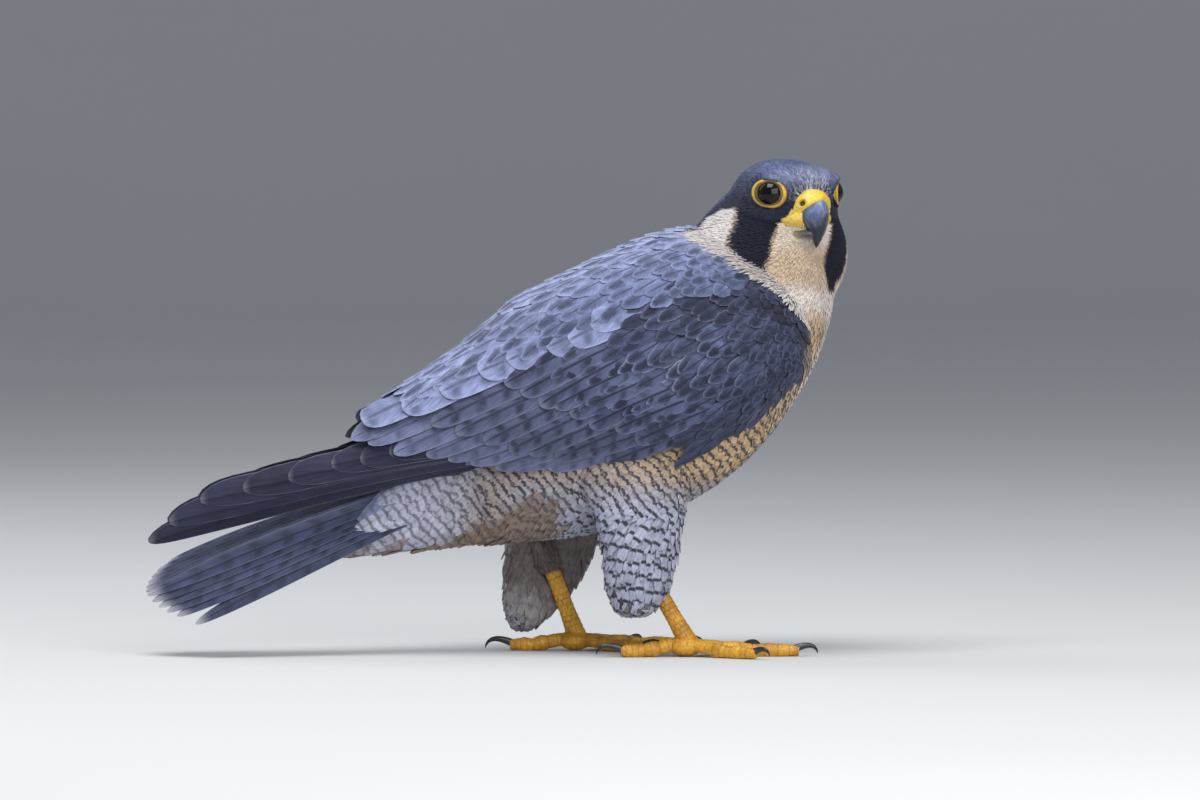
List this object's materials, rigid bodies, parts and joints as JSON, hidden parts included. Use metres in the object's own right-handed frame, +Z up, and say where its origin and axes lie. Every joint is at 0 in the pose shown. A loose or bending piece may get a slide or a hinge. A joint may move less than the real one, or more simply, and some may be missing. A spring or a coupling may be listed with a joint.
{
  "type": "peregrine falcon",
  "caption": "Life-size adult peregrine falcon standing still, head turned to its right, wings folded and tail slightly fanned.",
  "frame": {"origin": "middle of the bird's bounding box at the floor it stands on", "axes": "+X the way the body faces, along its longest side; +Y to the bird's left, its shortest side; +Z up"},
  "size_m": [0.3668, 0.1378, 0.2577],
  "materials": {
    "slate": "matt feathers, slate blue-grey above and cream below",
    "barred": "soft matt feathers, pale with dark bars",
    "yellow": "satin bare skin and scales",
    "horn": "smooth slate-blue horn",
    "black": "glossy black claw",
    "eye": "wet, very dark brown"
  },
  "bodies": {
    "root": {"head": "slate", "neck": "slate", "torso": "slate", "tail": "slate", "wing_right": "slate", "wing_left": "slate", "thigh_right": "barred", "thigh_left": "barred", "tarsus_right": "yellow", "tarsus_left": "yellow", "foot_right": "yellow", "foot_left": "yellow", "cere": "yellow", "bill_upper": "horn", "bill_lower": "horn", "eye_right": "eye", "eye_left": "eye", "toe_right_middle": "yellow", "claw_right_middle": "black", "toe_right_outer": "yellow", "claw_right_outer": "black", "toe_right_inner": "yellow", "claw_right_inner": "black", "toe_right_hind": "yellow", "claw_right_hind": "black", "toe_left_middle": "yellow", "claw_left_middle": "black", "toe_left_outer": "yellow", "claw_left_outer": "black", "toe_left_inner": "yellow", "claw_left_inner": "black", "toe_left_hind": "yellow", "claw_left_hind": "black"}
  },
  "joints": []
}
